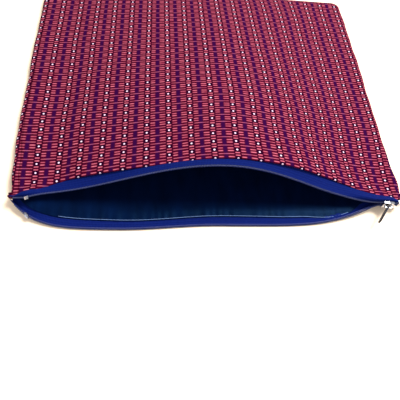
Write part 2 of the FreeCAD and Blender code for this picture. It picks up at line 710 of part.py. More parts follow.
# ------------------------------------------------------------------ seam threads
def seam_path(inset, level):
    """Line of a seam round the sides and back, its two corners rounded tangentially."""
    front = Vector(cell("mouth_half") - inset, cell("mouth_y") + 2, level)
    corner = Vector(cell("rear_half") - inset - 0.8, cell("back_y") - inset - 0.4, level)
    radius = cell("corner_radius")
    side = (corner - front).normalize()
    inward = Vector(-side.y, side.x, 0)
    trim = radius * math.tan(side.getAngle(Vector(-1, 0, 0)) / 2)
    bend_start = corner - side * trim
    bend_end = corner - Vector(trim, 0, 0)
    centre = bend_start + inward * radius
    bend_middle = centre + (corner - centre).normalize() * radius
    half = [Part.makeLine(front, bend_start),
            Part.Arc(bend_start, bend_middle, bend_end).toShape(),
            Part.makeLine(bend_end, Vector(0, bend_end.y, level))]
    other = [edge.mirror(Vector(0, 0, 0), Vector(1, 0, 0)) for edge in half]
    return Part.Wire(Part.__sortEdges__(half + other)), front, side


def make_seam_threads():
    """Threads that join the two shells, and the two linings, round sides and back."""
    lining_top = cell("lining_depth") + cell("lining_thick")
    seams = (("outer_seam_thread", 0.4, cell("seam_level")),
             ("lining_seam_thread", cell("lining_thread_inset"),
              (lining_top + cell("seam_level")) / 2))
    for label, inset, level in seams:
        path, start, along = seam_path(inset, level)
        section = Part.Wire([Part.makeCircle(cell("seam_thread") / 2, start, along)])
        new_feature(label, path.makePipeShell([section], True, False))


# ------------------------------------------------------------------ build and write
make_top_layers()
make_bottom_layers()
make_zip_side("upper", UPPER)
make_zip_side("lower", LOWER)
make_top_stop("upper_top_stop", UPPER)
make_top_stop("lower_top_stop", LOWER)
make_mouth_stitching()
make_bottom_stop()
make_slider_body()
make_slider_bail()
make_pull_tab()
make_seam_threads()
doc.recompute()

for item in doc.Objects:
    if "Invalid" in item.State or "Error" in item.State:
        raise RuntimeError("%s did not build: %s" % (item.Label, item.State))
for node in NODES:
    if node.Shape.isNull() or not node.Shape.isValid() or not node.Shape.Solids:
        raise RuntimeError(node.Label + " has no valid solid")
for node in NODES:
    node.Shape.exportStep("parts/%s.step" % node.Label)
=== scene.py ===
import math

import bpy
import numpy as np
from mathutils import Matrix, Vector


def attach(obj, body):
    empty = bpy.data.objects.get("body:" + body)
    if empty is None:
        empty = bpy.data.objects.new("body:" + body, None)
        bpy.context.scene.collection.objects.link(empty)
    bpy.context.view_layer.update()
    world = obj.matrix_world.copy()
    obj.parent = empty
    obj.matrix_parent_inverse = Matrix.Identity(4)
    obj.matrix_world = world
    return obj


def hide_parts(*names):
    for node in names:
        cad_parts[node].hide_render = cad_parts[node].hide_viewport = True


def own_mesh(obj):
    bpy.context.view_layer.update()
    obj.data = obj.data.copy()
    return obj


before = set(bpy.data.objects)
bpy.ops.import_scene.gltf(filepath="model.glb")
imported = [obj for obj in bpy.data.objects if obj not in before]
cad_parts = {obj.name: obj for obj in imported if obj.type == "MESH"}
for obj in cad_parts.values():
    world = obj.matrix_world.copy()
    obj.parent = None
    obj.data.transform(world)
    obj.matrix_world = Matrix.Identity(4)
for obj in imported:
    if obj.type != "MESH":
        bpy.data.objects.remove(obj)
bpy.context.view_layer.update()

# Padded laptop sleeve with its long zip open. Lengths in the shape functions are in
# millimetres, in the CAD frame: X along the mouth, +Y to the closed back, Z up.

# ------------------------------------------------------------------ main sizes
MOUTH_Y, BACK_Y = -137.0, 139.0
SHOULDER = 10.35          # level where the padded edge turns down to the seam
SEAM = 5.0                # level of the seam round the sides and back
EDGE = 5.2                # how far the padded edge rounds outwards from the shoulder
CORNER = 5.0              # inner radius of the two back corners
CORNER_START = BACK_Y - EDGE - CORNER  # where the two back corners begin
REACH_LEFT, REACH_RIGHT = 14.0, 12.5   # how far the top comes forward at its front corners
CURL = 4.2                # how far the floor's front corners curl up

CHAIN_Y, CHAIN_Z = -152.0, 10.0        # line on which the closed zip would lie
COIL_HALF, TAPE_HALF = 162.4, 165.5    # half lengths of the coils and of the tapes
OPEN_LEFT, OPEN_RIGHT = 152.0, 145.5   # where the upper lip joins the chain line
LOWER_OPEN_LEFT = 166.0                # where the lower lip joins it at the left
SLIDER_END, PARTING = 155.8, 10.8      # right end of the slider, and its length of parting tape
COIL_IN, COIL_OUT = 0.15, 1.1          # centre of a coil, in from its tape's edge and off its face
LIP_RISE, LIP_SETBACK = 37.6, 7.0      # middle of the upper lip, above and behind the chain line
LIP_BULGE, LIP_DROP = 19.0, 6.0        # middle of the lower lip, in front of and below it

COLUMN, ROW = 18.93, 9.17  # repeat of the woven pattern, across and along the depth
FABRIC, TAPE, LINING, PAD = 0.7, 0.5, 0.4, 2.8
PAD_IN = 0.95             # from the outside of the fabric to the foam
MOUTH_SEAM_IN = 1.9       # from the outside of the top fabric down to the tape sewn under it
FOLD, TUCK = 0.85, 5.0    # radius of the fabric's turned front edge, and the length tucked behind it
SEAM_GAP = 0.15           # from the seam line to the edge of either panel

# Half width of the pouch, and height of its raised top above the shoulder, by depth.
HALF = [(-137, 167.5), (-70, 169.5), (-5, 172), (55, 173.8), (100, 174.4), (139, 174.6)]
CROWN = [(-137, 41.3), (-70, 31), (-5, 23.5), (55, 16), (100, 10.5), (120, 6.8),
         (130, 2.8), (133.8, 0.05)]
# Swell of the raised top across its width: share of the half width, share of the crown.
SWELL = [(-1, 0), (-0.9, 0.02), (-0.8, 0.08), (-0.7, 0.24), (-0.5, 0.49), (-0.25, 0.77),
         (-0.05, 0.965), (0.07, 1.0), (0.2, 0.93), (0.4, 0.70), (0.6, 0.35), (0.8, 0.075),
         (0.9, 0.015), (1, 0)]


# ------------------------------------------------------------------ small mathematics
def ease(share):
    """0 to 1 with a gentle start and end."""
    share = np.clip(share, 0.0, 1.0)
    return share * share * (3 - 2 * share)


def through(place, table):
    """Smooth curve through a short table of (place, value)."""
    spots, values = np.array(table, float).T
    slopes = np.gradient(values, spots)
    k = np.clip(np.searchsorted(spots, place) - 1, 0, len(spots) - 2)
    step = spots[k + 1] - spots[k]
    t = (place - spots[k]) / step
    return ((1 + 2 * t) * (1 - t) ** 2 * values[k] + t * (1 - t) ** 2 * step * slopes[k]
            + t * t * (3 - 2 * t) * values[k + 1] + t * t * (t - 1) * step * slopes[k + 1])


def unit(v):
    return v / np.maximum(np.linalg.norm(v, axis=-1, keepdims=True), 1e-9)


def grid_normals(P):
    return unit(np.cross(np.gradient(P, axis=1), np.gradient(P, axis=0)))


def ripple(x, y, seed):
    """Slow uneven swelling of cloth, about -1 to 1."""
    a = np.sin(x * 0.041 + seed) * np.cos(y * 0.053 - 1.7 * seed)
    b = np.sin(x * 0.089 - y * 0.047 + 2.3 * seed)
    c = np.sin(x * 0.023 + y * 0.117 + 0.9 * seed)
    return (a + 0.6 * b + 0.5 * c) / 1.6


# ------------------------------------------------------------------ shape of the sleeve
def half_width(y):
    """Half width of the pouch at the seam, a little wavy, drawn in ahead of the mouth."""
    wavy = 0.35 * np.sin(y * 0.075) + 0.25 * np.sin(y * 0.19 + 1)
    return through(np.maximum(y, MOUTH_Y), HALF) + wavy - 2.2 * ease((-128 - y) / 22)


def span_at(y):
    """Half width at the shoulder, with the rounded back corners."""
    deep = np.clip((y - CORNER_START) / CORNER, 0, 1)
    return half_width(y) - EDGE - CORNER * (1 - np.sqrt(1 - deep ** 2))


def left_flare(u, y):
    """The left side spreads a little further than the right, except at the mouth."""
    return -3.8 * ease((-u - 0.4) / 0.6) * ease((y + 142) / 60)


def corner_lift(x, y):
    """The front corners of the padded floor curl up off the table, towards the chain."""
    return CURL * ease((abs(x) - 105) / 60) * ease((-60 - y) / 80)


def corner_reach(x):
    """How far the top fabric's front edge comes forward towards either end of the chain."""
    return np.where(x < 0, REACH_LEFT * ease((-x - 120) / 48), REACH_RIGHT * ease((x - 92) / 78))


def bell(x, span, crown):
    """Height of the raised top above its shoulder."""
    return crown * through(x / span, SWELL)


def openness(x, left):
    """0 in the middle of the mouth, 1 where the chain is closed."""
    return np.minimum(np.abs(x) / np.where(x < 0, left, OPEN_RIGHT), 1.0)


def spread(x):
    """How far the slider has parted the two tapes."""
    return ease((SLIDER_END - x) / PARTING)


def twist(x):
    """Turn of a tape's free edge, from lying open to standing up in the closed chain."""
    left, right = ease((-x - 135) / 28), ease((x - 100) / 42)
    return np.where(x < 0, left, right) * math.pi / 2


def vec(x, y, z):
    """Points or directions from three coordinates."""
    return np.stack(np.broadcast_arrays(x, y, z), -1).astype(float)


def lip(x, up):
    """Free edge of a tape, and its directions into the tape and towards its coil."""
    offset = 1.0 + spread(x)
    if up:
        swell = 1 - openness(x, OPEN_LEFT) ** 2
        setback = LIP_SETBACK * swell ** np.where(x < 0, 0.6, 2.0)
        edge = vec(x, CHAIN_Y + setback, CHAIN_Z + offset + LIP_RISE * swell ** 2.6)
    else:
        fullness, softness = np.where(x < 0, 10, 5), np.where(x < 0, 1.2, 1.6)
        swell = (1 - openness(x, LOWER_OPEN_LEFT) ** fullness) ** softness
        bulge = LIP_BULGE + 4 * ease(-x / 80)
        edge = vec(x, CHAIN_Y - bulge * swell, CHAIN_Z - offset - LIP_DROP * swell)
    sign = 1 if up else -1
    turn = sign * twist(x)
    across = vec(0 * x, np.cos(turn), np.sin(turn))
    outward = sign * vec(0 * x, -np.sin(turn), np.cos(turn))
    return edge, across, outward


def mouth_top(x):
    """Height of the fabric's front edge."""
    span = span_at(MOUTH_Y)
    inside = SHOULDER + bell(np.clip(x, -span, span), span, CROWN[0][1])
    fallen = np.where(np.abs(x) > span, SHOULDER - 0.12 * (np.abs(x) - span) ** 2, inside)
    return fallen + corner_rise(x, 0.0)


def corner_rise(x, back):
    """Near the corners the front edge is held up by the tape that stands in the chain."""
    held = 1 - 0.75 * ease((np.abs(x) - 148) / 14)
    rise = 4.6 * corner_reach(x) / 13.0
    return held * rise * np.exp(-(back / 7.0) ** 2)


def floor_front(x):
    """Front edge of the bottom fabric."""
    edge, _, _ = lip(x, False)
    return edge[..., 1] + 8.5


# ------------------------------------------------------------------ mesh building
def add_mesh(name, points, faces, uv, material):
    """Smooth mesh from points in millimetres, riding on the sleeve."""
    mesh = bpy.data.meshes.new(name)
    mesh.from_pydata((points * 0.001).tolist(), [], [list(map(int, f)) for f in faces])
    mesh.update()
    layer = mesh.uv_layers.new(name="UVMap")
    corners = np.zeros(len(mesh.loops), np.int32)
    mesh.loops.foreach_get("vertex_index", corners)
    layer.data.foreach_set("uv", np.asarray(uv, np.float32)[corners].ravel())
    mesh.polygons.foreach_set("use_smooth", [True] * len(mesh.polygons))
    mesh.materials.append(material)
    obj = bpy.data.objects.new(name, mesh)
    bpy.context.scene.collection.objects.link(obj)
    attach(obj, "sleeve")
    return obj


def shell(name, P, uv, thick, material):
    """Closed thin cloth from a grid of points on its outer face."""
    rows, cols = P.shape[:2]
    N = grid_normals(P)
    outer, inner = P.reshape(-1, 3), (P - N * thick).reshape(-1, 3)
    index = np.arange(rows * cols).reshape(rows, cols)
    a, b, c, d = index[:-1, :-1], index[:-1, 1:], index[1:, 1:], index[1:, :-1]
    front = np.stack([a, b, c, d], -1).reshape(-1, 4)
    back = front[:, ::-1] + rows * cols
    ring = np.concatenate([index[0, :], index[1:, -1], index[-1, -2::-1], index[-2:0:-1, 0]])
    after = np.roll(ring, -1)
    rim = np.stack([after, ring, ring + rows * cols, after + rows * cols], -1)
    faces = np.concatenate([front, back, rim])
    flat = uv.reshape(-1, 2)
    both = np.concatenate([flat, flat])
    return add_mesh(name, np.concatenate([outer, inner]), faces, both, material)


def lengths_along(path):
    """Distance from the start of a path to each of its points."""
    return np.concatenate([[0], np.cumsum(np.linalg.norm(np.diff(path, axis=0), axis=1))])


def tube_points(path, side, up, radius, around):
    """Rings of points round a path, from its two crosswise directions."""
    angles = np.arange(around) * 2 * math.pi / around
    cosine, sine = np.cos(angles)[None, :, None], np.sin(angles)[None, :, None]
    return path[:, None] + (side[:, None] * cosine + up[:, None] * sine) * radius


def add_tube(name, tubes, material, around=6):
    """One mesh from several tubes, each (path, side, up, radius)."""
    points, faces, uv, base = [], [], [], 0
    for path, side, up, radius in tubes:
        rings = tube_points(path, side, up, radius, around)
        count = len(path)
        index = base + np.arange(count * around).reshape(count, around)
        nxt = np.roll(index, -1, axis=1)
        faces += np.stack([index[:-1], nxt[:-1], nxt[1:], index[1:]], -1).reshape(-1, 4).tolist()
        faces += [index[0, ::-1].tolist(), index[-1].tolist()]
        points.append(rings.reshape(-1, 3))
        turn = np.arange(around) / around
        marks = np.stack(np.broadcast_arrays(lengths_along(path)[:, None], turn), -1)
        uv.append(marks.reshape(-1, 2))
        base += count * around
    return add_mesh(name, np.concatenate(points), faces, np.concatenate(uv), material)


def crosswise(path):
    """Sideways and upward directions along a path that stays roughly level."""
    along = unit(np.gradient(path, axis=0))
    side = unit(np.cross(along, np.array([0, 0, 1.0]) + 0 * along))
    return side, np.cross(side, along)


def outward_grid(P, uv, direction, spot=None):
    """Turn the grid over if its normals, as found at one spot, don't face the wanted way."""
    row, column = spot or (P.shape[0] // 2, P.shape[1] // 2)
    if grid_normals(P)[row, column] @ np.array(direction) < 0:
        return P[:, ::-1], uv[:, ::-1]
    return P, uv


def made_of(piece, node):
    """The piece is the look of a CAD node, whose own part is hidden."""
    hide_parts(node)
    return piece


def squashed(piece):
    """Give the piece a mesh of its own."""
    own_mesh(piece)


# ------------------------------------------------------------------ materials
class Nodes:
    """Short way to write a node tree."""

    def __init__(self, name):
        self.material = bpy.data.materials.new(name)
        self.material.use_nodes = True
        self.tree = self.material.node_tree
        self.shader = next(n for n in self.tree.nodes if n.type == "BSDF_PRINCIPLED")

    def new(self, kind, **values):
        node = self.tree.nodes.new(kind)
        for key, value in values.items():
            setattr(node, key, value)
        return node

    def plug(self, socket, value):
        if isinstance(value, bpy.types.NodeSocket):
            self.tree.links.new(value, socket)
        elif isinstance(value, tuple) and len(value) == 3 and socket.type == "RGBA":
            socket.default_value = (*value, 1)
        else:
            socket.default_value = value

    def math(self, operation, a, b=0.0, c=0.0):
        node = self.new("ShaderNodeMath", operation=operation)
        for socket, value in zip(node.inputs, (a, b, c)):
            self.plug(socket, value)
        return node.outputs[0]

    def band(self, value, centre, half, soft):
        """1 within half of centre, falling to 0 over soft."""
        away = self.math("ABSOLUTE", self.math("SUBTRACT", value, centre))
        node = self.new("ShaderNodeMapRange", interpolation_type="SMOOTHSTEP")
        for socket, x in zip(node.inputs, (away, half - soft, half + soft, 1.0, 0.0)):
            self.plug(socket, x)
        return node.outputs[0]

    def times(self, *values):
        total = values[0]
        for value in values[1:]:
            total = self.math("MULTIPLY", total, value)
        return total

    def most(self, *values):
        total = values[0]
        for value in values[1:]:
            total = self.math("MAXIMUM", total, value)
        return total

    def mix(self, share, a, b):
        node = self.new("ShaderNodeMix", data_type="RGBA")
        self.plug(node.inputs[0], share)
        self.plug(node.inputs[6], a)
        self.plug(node.inputs[7], b)
        return node.outputs[2]

    def uv(self):
        node = self.new("ShaderNodeUVMap", uv_map="UVMap")
        split = self.new("ShaderNodeSeparateXYZ")
        self.plug(split.inputs[0], node.outputs[0])
        return node.outputs[0], split.outputs[0], split.outputs[1]

    def noise(self, vector, scale, detail=2.0, stretch=(1.0, 1.0, 1.0)):
        mapped = self.new("ShaderNodeMapping")
        self.plug(mapped.inputs[0], vector)
        mapped.inputs[3].default_value = stretch
        node = self.new("ShaderNodeTexNoise")
        self.plug(node.inputs["Vector"], mapped.outputs[0])
        node.inputs["Scale"].default_value = scale
        node.inputs["Detail"].default_value = detail
        return node.outputs[0]

    def object_point(self):
        return self.new("ShaderNodeTexCoord").outputs["Object"]

    def bump(self, height, distance, strength=1.0):
        node = self.new("ShaderNodeBump")
        node.inputs["Strength"].default_value = strength
        node.inputs["Distance"].default_value = distance
        self.plug(node.inputs["Height"], height)
        self.plug(self.shader.inputs["Normal"], node.outputs[0])

    def set(self, **values):
        for key, value in values.items():
            self.plug(self.shader.inputs[key.replace("_", " ")], value)
        return self.material


def woven_material():
    """Dobby weave: pink floats in pairs, white dots in columns, on a maroon ground."""
    n = Nodes("woven_fabric")
    uv, u, v = n.uv()
    wobble = n.math("MULTIPLY", n.math("SUBTRACT", n.noise(uv, 1.3), 0.5), 0.10)
    v = n.math("ADD", v, wobble)
    fu = n.math("FRACT", n.math("ADD", u, 100.0))
    du = n.math("ABSOLUTE", n.math("SUBTRACT", n.math("FRACT", n.math("ADD", u, 100.5)), 0.5))
    dv = n.math("ABSOLUTE", n.math("SUBTRACT", n.math("FRACT", n.math("ADD", v, 100.5)), 0.5))
    threads = n.noise(uv, 1.0, 1.0, (3.0, 26.0, 1.0))
    patch = n.noise(uv, 1.0, 2.0, (2.1, 2.3, 1.0))

    left, right = n.band(fu, 0.270, 0.100, 0.035), n.band(fu, 0.715, 0.125, 0.035)
    pair = n.times(n.most(left, right), n.band(dv, 0.15, 0.052, 0.040))
    heart = n.times(n.most(left, right), n.band(dv, 0.0, 0.09, 0.05))
    long_dash = n.times(n.band(fu, 0.505, 0.335, 0.03), n.band(dv, 0.5, 0.035, 0.035))
    rungs = n.times(n.band(du, 0.0, 0.10, 0.02), n.band(dv, 0.34, 0.06, 0.035))
    block = n.times(n.band(fu, 0.480, 0.085, 0.045), n.band(dv, 0.0, 0.40, 0.08))
    surround = n.times(n.band(du, 0.0, 0.13, 0.02), n.band(dv, 0.0, 0.25, 0.05))
    stripes = n.most(n.band(fu, 0.14, 0.02, 0.02), n.band(fu, 0.86, 0.02, 0.02))
    across = n.math("DIVIDE", du, 0.045)
    along = n.math("DIVIDE", dv, 0.090)
    away = n.math("SQRT", n.math("ADD", n.times(across, across), n.times(along, along)))
    dot = n.band(away, 0.0, 1.0, 0.22)

    lively = n.math("ADD", n.math("MULTIPLY", threads, 0.9), n.math("MULTIPLY", patch, 0.6))
    pink = n.mix(n.band(lively, 1.15, 0.38, 0.35), (0.28, 0.026, 0.065), (0.74, 0.185, 0.255))
    colour = n.mix(threads, (0.030, 0.0004, 0.007), (0.070, 0.0010, 0.018))
    colour = n.mix(n.math("MULTIPLY", heart, 0.35), colour, (0.14, 0.006, 0.022))
    colour = n.mix(n.times(stripes, 0.6), colour, (0.016, 0.0005, 0.009))
    colour = n.mix(n.times(block, 0.85), colour, (0.020, 0.002, 0.036))
    colour = n.mix(n.times(long_dash, 0.85), colour, n.mix(block, pink, (0.22, 0.065, 0.19)))
    centre = n.band(fu, 0.505, 0.10, 0.04)
    colour = n.mix(n.times(long_dash, centre, 0.7), colour, (0.20, 0.055, 0.17))
    colour = n.mix(n.times(n.most(pair, rungs), 0.92), colour, pink)
    between = n.times(surround, n.math("SUBTRACT", 1.0, rungs), 0.85)
    colour = n.mix(between, colour, (0.011, 0.0004, 0.010))
    colour = n.mix(dot, colour, (0.80, 0.60, 0.76))

    floats = n.most(pair, long_dash, rungs, dot)
    ribs = n.noise(uv, 1.0, 1.0, (6.0, 60.0, 1.0))
    n.bump(n.math("ADD", floats, n.math("MULTIPLY", ribs, 0.6)), 0.00035, 0.7)
    return n.set(Base_Color=colour, Roughness=0.9, Specular_IOR_Level=0.0)


def tape_material():
    """Woven polyester tape: fine crosswise ribs and a few lengthwise bands."""
    n = Nodes("zip_tape")
    uv, u, v = n.uv()
    rib = n.math("SINE", n.math("MULTIPLY", u, 2 * math.pi / 1.15))
    cord = n.math("SINE", n.math("MULTIPLY", v, 2 * math.pi / 2.1))
    patch = n.noise(uv, 0.35, 3.0, (1.0, 2.5, 1.0))
    tone = n.math("ADD", n.math("MULTIPLY", rib, 0.16), n.math("MULTIPLY", patch, 0.8))
    colour = n.mix(tone, (0.0012, 0.005, 0.065), (0.0035, 0.012, 0.120))
    bands = n.math("MULTIPLY", n.band(cord, 1.0, 0.25, 0.3), 0.30)
    colour = n.mix(bands, colour, (0.006, 0.018, 0.14))
    height = n.math("ADD", n.math("MULTIPLY", rib, 0.5), n.math("MULTIPLY", cord, 0.5))
    n.bump(height, 0.0002, 0.6)
    return n.set(Base_Color=colour, Roughness=0.75, Specular_IOR_Level=0.03)


def coil_material():
    """Moulded nylon monofilament, a little uneven in tone."""
    n = Nodes("zip_coil")
    patch = n.noise(n.object_point(), 900.0, 2.0)
    colour = n.mix(patch, (0.012, 0.018, 0.085), (0.032, 0.045, 0.14))
    n.bump(patch, 0.00004, 0.4)
    return n.set(Base_Color=colour, Roughness=0.42, Specular_IOR_Level=0.30)


def lining_material():
    """Navy satin: close threads with a soft sheen."""
    n = Nodes("lining")
    uv, _, _ = n.uv()
    thread = n.noise(uv, 1.0, 1.0, (0.5, 9.0, 1.0))
    patch = n.noise(uv, 0.045, 3.0, (2.2, 0.8, 1.0))
    colour = n.mix(patch, (0.0004, 0.0014, 0.007), (0.0009, 0.0065, 0.038))
    height = n.math("ADD", n.math("MULTIPLY", thread, 0.25), patch)
    n.bump(height, 0.0006, 0.35)
    rough = n.math("ADD", 0.34, n.math("MULTIPLY", thread, 0.1))
    return n.set(Base_Color=colour, Roughness=rough, Specular_IOR_Level=0.07,
                 Specular_Tint=(0.10, 0.45, 1.0))


def foam_material():
    """Pale open-cell foam."""
    n = Nodes("foam")
    point = n.object_point()
    cells = n.new("ShaderNodeTexVoronoi")
    n.plug(cells.inputs["Vector"], point)
    cells.inputs["Scale"].default_value = 1400.0
    colour = n.mix(cells.outputs[0], (0.30, 0.30, 0.32), (0.46, 0.46, 0.48))
    n.bump(cells.outputs[0], 0.0002, 0.5)
    return n.set(Base_Color=colour, Roughness=0.9)


def thread_material(name, dark, light):
    """Twisted thread: its lay runs round it as a helix."""
    n = Nodes(name)
    _, u, v = n.uv()
    along, around = n.math("MULTIPLY", u, 14.0), n.math("MULTIPLY", v, 2 * math.pi)
    lay = n.math("SINE", n.math("ADD", along, around))
    share = n.math("ADD", 0.5, n.math("MULTIPLY", lay, 0.4))
    n.bump(share, 0.00005, 0.5)
    return n.set(Base_Color=n.mix(share, dark, light), Roughness=0.55, Sheen_Weight=0.2)


def metal_material(name, dark, light, rough):
    """Plated metal with fine brushing and slight wear."""
    n = Nodes(name)
    point = n.object_point()
    brushed = n.noise(point, 1500.0, 2.0, (0.15, 1.0, 1.0))
    wear = n.noise(point, 300.0, 3.0)
    n.bump(brushed, 0.00002, 0.35)
    share = n.math("ADD", n.math("MULTIPLY", brushed, 0.4), n.math("MULTIPLY", wear, 0.6))
    uneven = n.math("ADD", rough, n.math("MULTIPLY", wear, 0.12))
    return n.set(Base_Color=n.mix(share, dark, light), Metallic=1.0, Roughness=uneven)


WOVEN, TAPE_CLOTH, COIL = woven_material(), tape_material(), coil_material()
SATIN, FOAM = lining_material(), foam_material()
CORD = thread_material("cord", (0.05, 0.06, 0.16), (0.10, 0.12, 0.26))
THREAD = thread_material("thread", (0.012, 0.018, 0.12), (0.05, 0.07, 0.26))
# Pale thread for the lower mouth stitches: partly the thread's own pale blue, partly a painted
# highlight for the sheen along the lining's folded edge.
PALE_THREAD_AND_PAINTED_SHEEN = thread_material("thread_pale_and_painted_sheen", (0.06, 0.13, 0.34), (0.22, 0.36, 0.66))
STOP_METAL = metal_material("stop_metal", (0.26, 0.27, 0.34), (0.52, 0.53, 0.60), 0.2)
SLIDER_METAL = metal_material("slider_metal", (0.30, 0.31, 0.36), (0.66, 0.67, 0.72), 0.16)
PULL_METAL = metal_material("pull_metal", (0.004, 0.004, 0.006), (0.016, 0.016, 0.020), 0.34)


# ------------------------------------------------------------------ woven top shell
def corner_rows():
    """Places along the depth at which the rounded back corners have a row."""
    return CORNER_START + CORNER * np.sin(np.linspace(0, math.pi / 2, 9))


def top_grid():
    """Rows from the mouth to the back and columns across, on the outside of the fabric."""
    y = np.concatenate([np.linspace(MOUTH_Y, CORNER_START, 108)[:-1], corner_rows()])
    u = np.linspace(-1, 1, 141)
    Y, U = np.meshgrid(y, u, indexing="ij")
    span = span_at(Y)
    X = U * span
    Z = SHOULDER + bell(X, span, np.maximum(through(Y, CROWN), CROWN[-1][1]))
    front, settled = MOUTH_Y - corner_reach(X), -60.0
    drawn = front + (Y - MOUTH_Y) * (settled - front) / (settled - MOUTH_Y)
    Y = np.where(Y < settled, drawn, Y)
    Z = Z + corner_rise(X, Y - front)
    X = U * span_at(Y) + left_flare(U, Y)
    soft = np.clip((1 - U ** 2) * 4, 0, 1) * np.clip((BACK_Y - EDGE - Y) / 14, 0, 1)
    Z = Z + 0.55 * soft * ripple(X, Y, 1.0)
    return np.stack([X, Y, Z], -1)


TOP = top_grid()


def widths_along(P):
    """Distance from the start of each row of a grid to each of its points."""
    step = np.linalg.norm(np.diff(P, axis=1), axis=-1)
    return np.concatenate([np.zeros((len(P), 1)), np.cumsum(step, axis=1)], axis=1)


def pattern_uv(P):
    """Distances along the cloth, in repeats of its pattern, which is drawn askew at the
    right of the mouth."""
    along = widths_along(P)
    middle = along[:, P.shape[1] // 2][:, None]
    drawn = 3.7 * ease((P[..., 0] + 50) / 70) * ease((-50 - P[..., 1]) / 80)
    across = (along - middle + 4.22 + drawn) / COLUMN
    return np.stack([across, (P[..., 1] + 129.0) / ROW], -1)


TOP_UV = pattern_uv(TOP)


def half_turn(edge, edge_uv, normal, forward, radius):
    """Rows that carry an edge forwards and round, half a turn towards its other face."""
    angles = np.linspace(0, math.pi, 7)[1:]
    rows = [edge + forward * radius * math.sin(a) + normal * radius * (math.cos(a) - 1)
            for a in angles]
    return rows, [edge_uv - np.array([0, a * radius / ROW]) for a in angles]


def front_roll(P, uv, normals, radius, tuck):
    """Fold the front edge (the first row of the grid) over and back under itself."""
    forward = unit(P[0] - P[1])
    rows, marks = half_turn(P[0], uv[0], normals[0], forward, radius)
    for reach in np.linspace(tuck / 3, tuck, 3):
        rows.append(P[0] - normals[0] * 2 * radius - forward * reach)
        marks.append(uv[0] - np.array([0, (math.pi * radius + reach) / ROW]))
    return np.concatenate([rows[::-1], P]), np.concatenate([marks[::-1], uv])


def border(P):
    """The grid's left side, back and right side as one path, with outward directions."""
    turn = np.arcsin(np.clip((P[:, 0, 1] - CORNER_START) / CORNER, 0, 1))
    left, right = (vec(sign * np.cos(turn), np.sin(turn), 0 * turn) for sign in (-1, 1))
    back = np.broadcast_to((0.0, 1.0, 0.0), (P.shape[1] - 2, 3))
    return border_line(P), np.concatenate([left, back, right[::-1]])


def border_line(G):
    """Left side, back and right side of a grid of points or of pattern places."""
    return np.concatenate([G[:, 0], G[-1, 1:-1], G[::-1, -1]])


def edge_strip(P, uv, gap, facing):
    """Padded edge that rounds outwards from the grid's border and turns to the seam. Rows
    follow the border, columns go round the edge; both mouth ends fold under."""
    path, out = border(P)
    level = seam_level(path, out) + gap
    angles = np.append(np.linspace(0, math.pi / 2, 8), math.pi / 2)
    tuck = np.append(np.zeros(8), 1.3)
    columns = []
    for angle, inward in zip(angles, tuck):
        height = path[:, 2] + (level - path[:, 2]) * (1 - math.cos(angle))
        side = path + out * (EDGE * math.sin(angle) - inward)
        columns.append(np.column_stack([side[:, :2], height]))
    P = np.stack(columns, axis=1)
    arc = np.append(np.linspace(0, 7.2, 8), 8.5)
    around = out[:, None, :2] * arc[None, :, None] / np.array([COLUMN, ROW])
    uv = border_line(uv)[:, None] + around
    normals, forward = grid_normals(P) * facing, np.array([0, -1.0, 0])
    first, first_uv = half_turn(P[0], uv[0], normals[0], forward, FOLD)
    last, last_uv = half_turn(P[-1], uv[-1], normals[-1], forward, FOLD)
    P, uv = np.concatenate([first[::-1], P, last]), np.concatenate([first_uv[::-1], uv, last_uv])
    return outward_grid(P, uv, (0, 0, facing), (len(P) // 2, 0))


def seam_level(path, out):
    """Height of the seam line beside each point of a border."""
    spot = path + out * EDGE
    uneven = 0.25 * np.sin(spot[:, 0] * 0.07 + spot[:, 1] * 0.11)
    return SEAM + corner_lift(spot[:, 0], spot[:, 1]) + uneven


TOP_NORMALS = grid_normals(TOP)
TOP_NORMALS *= np.sign(TOP_NORMALS[..., 2:3])
P, uv = outward_grid(*front_roll(TOP, TOP_UV, TOP_NORMALS, FOLD, TUCK), (0, 0, 1))
top_fabric = made_of(shell("top_fabric", P, uv, FABRIC, WOVEN), "top_outer_panel")
squashed(top_fabric)

P, uv = edge_strip(TOP, TOP_UV, SEAM_GAP, 1)
top_fabric_edge = shell("top_fabric_edge", P, uv, FABRIC, WOVEN)
made_of(top_fabric_edge, "top_outer_panel")


# ------------------------------------------------------------------ woven bottom shell
def floor_grid():
    """Rows and columns like the top's, on the underside of the bottom fabric."""
    u = np.linspace(-1, 1, 101)
    front = floor_front(u * span_at(MOUTH_Y))
    rows = [front + (CORNER_START - front) * share for share in np.linspace(0, 1, 70)[:-1]]
    Y = np.array(rows + [np.full(len(u), y) for y in corner_rows()])
    X = u[None, :] * span_at(Y) + left_flare(u[None, :], Y)
    return np.stack([X, Y, 0.6 * corner_lift(X, Y)], -1)


FLOOR = floor_grid()
FLOOR_UV = pattern_uv(FLOOR)
normals = grid_normals(FLOOR)
normals *= -np.sign(normals[..., 2:3])
P, uv = outward_grid(*front_roll(FLOOR, FLOOR_UV, normals, FOLD, TUCK), (0, 0, -1))
bottom_fabric = shell("bottom_fabric", P, uv, FABRIC, WOVEN)
made_of(bottom_fabric, "bottom_outer_panel")

P, uv = edge_strip(FLOOR, FLOOR_UV, -SEAM_GAP, -1)
bottom_fabric_edge = shell("bottom_fabric_edge", P, uv, FABRIC, WOVEN)
made_of(bottom_fabric_edge, "bottom_outer_panel")


# ------------------------------------------------------------------ padding and lining
def millimetre_uv(P):
    """Pattern places in millimetres, seen from above."""
    return np.stack([P[..., 0], P[..., 1]], -1)


INSIDE_SEAMS = (slice(3, -3), slice(2, -2))
P = (TOP - TOP_NORMALS * PAD_IN)[INSIDE_SEAMS]
P, uv = outward_grid(P, millimetre_uv(P), (0, 0, 1))
top_pad = made_of(shell("top_pad", P, uv, PAD, FOAM), "top_padding")
squashed(top_pad)

